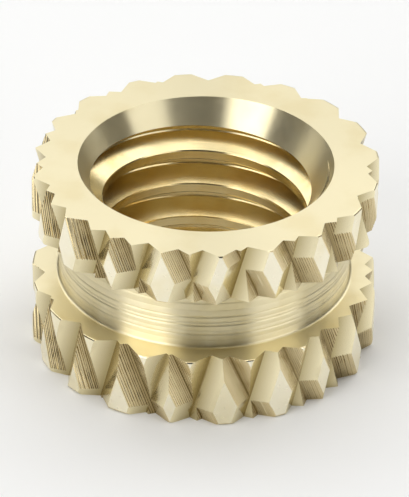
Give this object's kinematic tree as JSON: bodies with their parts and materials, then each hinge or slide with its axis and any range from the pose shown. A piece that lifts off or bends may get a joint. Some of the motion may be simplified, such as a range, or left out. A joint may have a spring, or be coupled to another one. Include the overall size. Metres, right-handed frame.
{
  "type": "threaded insert",
  "caption": "Short brass heat-set threaded insert: round body with a countersunk threaded through bore and two cross-knurled bands either side of a plain neck.",
  "frame": {"origin": "centre of the bottom end face, on which the insert stands", "axes": "+Z along the bore towards the countersunk end; -Y is the side that the picture shows"},
  "size_m": [0.007, 0.007, 0.004],
  "materials": {
    "insert_body": "bright turned brass with fine tool marks"
  },
  "bodies": {
    "root": {"insert_body": "insert_body"}
  },
  "joints": []
}
